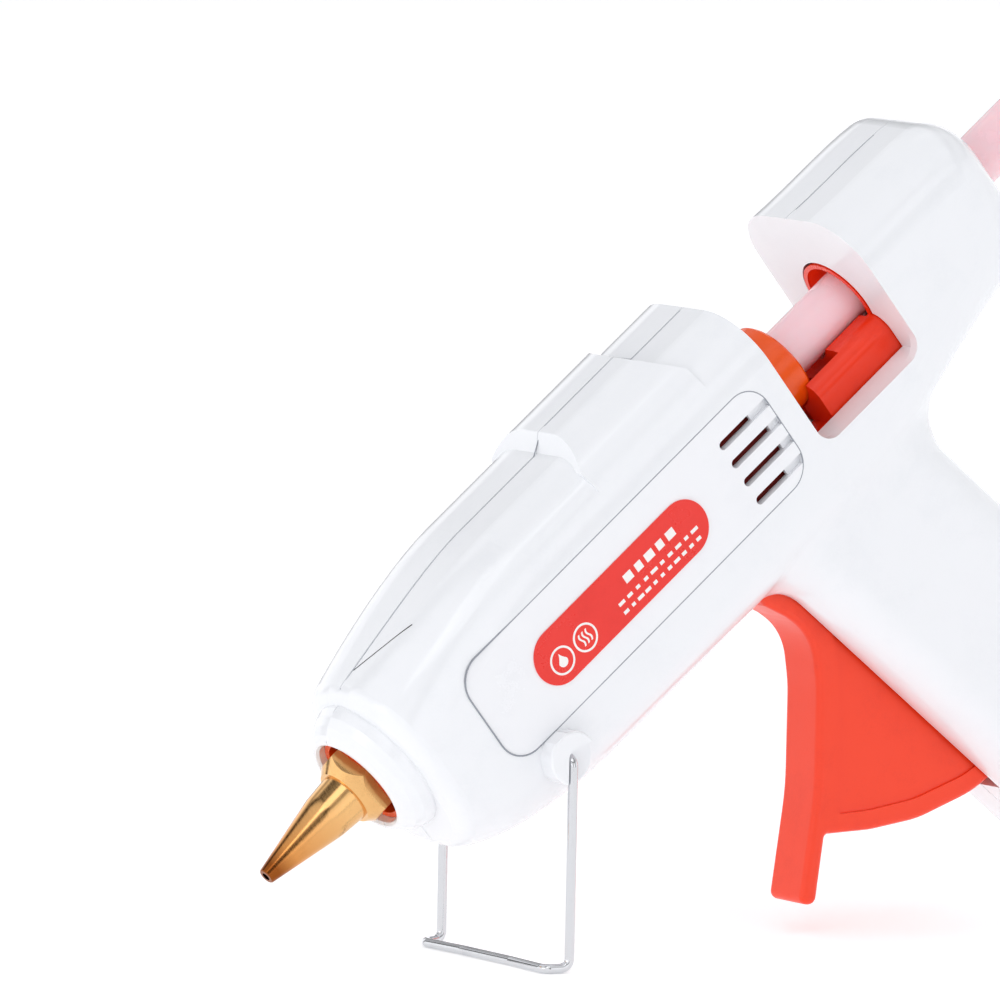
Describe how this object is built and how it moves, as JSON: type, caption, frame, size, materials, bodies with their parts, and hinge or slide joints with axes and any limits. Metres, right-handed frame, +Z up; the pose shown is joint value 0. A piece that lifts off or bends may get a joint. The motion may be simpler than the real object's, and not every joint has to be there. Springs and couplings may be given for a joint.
{
  "type": "glue gun",
  "caption": "Hot-melt glue gun with a brass nozzle, split housing, squeeze trigger, stick carriage in an open-top window and a folding wire stand.",
  "frame": {"origin": "middle of the bounding box on the floor that the stand wire and the heel of the grip rest on", "axes": "+X from the nozzle towards the grip heel, +Y to the gun's right-hand side, +Z up; the barrel points 38 degrees below the horizontal towards -X"},
  "size_m": [0.242, 0.0488, 0.1767],
  "materials": {
    "shell_white": "glossy",
    "panel_white": "satin",
    "label_red": "glossy print",
    "guide_orange": "glossy",
    "trigger_orange": "satin",
    "brass": "polished",
    "chamber_alu": "cast",
    "steel": "brushed",
    "stand_chrome": "polished",
    "ceramic": "matt ceramic",
    "film_amber": "polyimide film",
    "silicone_red": "matt silicone",
    "electrode_alu": "foil",
    "glue_pink": "translucent",
    "black_rubber": "matt",
    "switch_black": "fine texture",
    "rocker_red": "glossy",
    "lamp_red": "clear",
    "terminal_white": "matt",
    "lead_white": "glass-fibre sleeve"
  },
  "bodies": {
    "housing": {"left_shell": "shell_white", "right_shell": "shell_white", "left_panel": "panel_white", "right_panel": "panel_white", "label_plate": "label_red", "nozzle": "brass", "nozzle_collar_ring": "guide_orange", "melt_chamber": "chamber_alu", "heater_film": "film_amber", "heater_tablet": "ceramic", "upper_electrode": "electrode_alu", "lower_electrode": "electrode_alu", "inlet_sleeve": "silicone_red", "sleeve_clamp": "steel", "stick_guide": "guide_orange", "tail_ring": "guide_orange", "trigger_pin": "steel", "switch_case": "switch_black", "indicator_lamp": "lamp_red", "cord_gland": "black_rubber", "terminal_block": "terminal_white", "left_lead": "lead_white", "right_lead": "lead_white", "housing_screws": "steel"},
    "trigger": {"trigger": "trigger_orange", "return_spring": "steel"},
    "carriage": {"carriage": "guide_orange", "drive_pin": "steel", "jaw_pin": "steel"},
    "jaw": {"grip_jaw": "steel"},
    "stick": {"glue_stick": "glue_pink"},
    "stand": {"stand_wire": "stand_chrome"},
    "rocker": {"switch_rocker": "rocker_red"}
  },
  "joints": [
    {"name": "trigger_squeeze", "type": "hinge", "parent": "housing", "child": "trigger", "pos_m": [0.02014, 0, 0.08486], "axis": [0, -1, 0], "range_deg": [0, 20], "stiffness_Nm_per_rad": 0.43, "springref_deg": -14.32},
    {"name": "carriage_slide", "type": "slide", "parent": "housing", "child": "carriage", "axis": [-0.788, 0, -0.6157], "range_m": [0, 0.0073]},
    {"name": "jaw_grip", "type": "hinge", "parent": "carriage", "child": "jaw", "pos_m": [0.0378, 0, 0.12593], "axis": [0, 1, 0], "range_deg": [0, 2.5]},
    {"name": "stick_slide", "type": "slide", "parent": "housing", "child": "stick", "axis": [0.788, 0, 0.6157], "range_m": [0, 0.16]},
    {"name": "stand_fold", "type": "hinge", "parent": "housing", "child": "stand", "pos_m": [-0.06249, 0, 0.04314], "axis": [0, -1, 0], "range_deg": [0, 114]},
    {"name": "switch_rock", "type": "hinge", "parent": "housing", "child": "rocker", "pos_m": [0.07663, -0.0151, 0.03491], "axis": [-0.6374, 0, -0.7705], "range_deg": [0, 16]}
  ],
  "couplings": [
    {"joint": "carriage_slide", "follows": "trigger_squeeze", "m_per_rad": 0.020711},
    {"joint": "jaw_grip", "follows": "trigger_squeeze", "ratio": 0.125}
  ]
}
